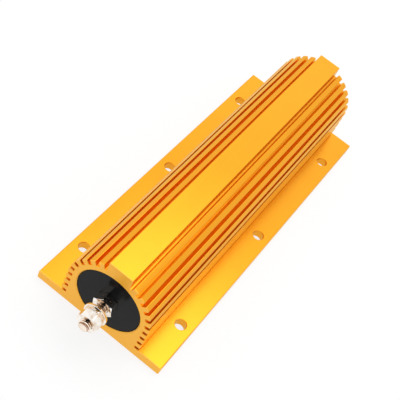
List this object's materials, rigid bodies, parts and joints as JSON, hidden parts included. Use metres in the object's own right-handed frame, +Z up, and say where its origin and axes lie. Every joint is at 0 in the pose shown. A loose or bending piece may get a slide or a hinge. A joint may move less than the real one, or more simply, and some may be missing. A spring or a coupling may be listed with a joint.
{
  "type": "aluminium housed power resistor",
  "caption": "Wirewound power resistor in a finned, gold anodised aluminium extrusion with a bolt-down flange base and a threaded stud terminal at each end.",
  "frame": {"origin": "on the mounting plane, under the middle of the housing", "axes": "+X along the housing to the rear terminal, +Y across the flange, +Z up from the mounting plane to the land"},
  "size_m": [0.2326, 0.072, 0.0465],
  "materials": {
    "gold_anodised": "satin, gold anodised extrusion with fine lengthwise die lines",
    "black_moulding": "glossy black moulded disc",
    "plated_thread": "bright nickel plated thread",
    "plated_hardware": "bright nickel plating",
    "white_ceramic": "matt unglazed ceramic",
    "resistance_alloy": "dull drawn ribbon",
    "cap_steel": "plain pressed metal",
    "potting": "matt mineral filled potting"
  },
  "bodies": {
    "root": {"housing": "gold_anodised", "front_end_disc": "black_moulding", "rear_end_disc": "black_moulding", "front_terminal_stud": "plated_thread", "rear_terminal_stud": "plated_thread", "front_inner_nut": "plated_hardware", "rear_inner_nut": "plated_hardware", "front_outer_nut": "plated_hardware", "rear_outer_nut": "plated_hardware", "front_flat_washer": "plated_hardware", "rear_flat_washer": "plated_hardware", "front_lock_washer": "plated_hardware", "rear_lock_washer": "plated_hardware", "ceramic_core": "white_ceramic", "resistance_winding": "resistance_alloy", "front_end_cap": "cap_steel", "rear_end_cap": "cap_steel", "filler": "potting"}
  },
  "joints": []
}
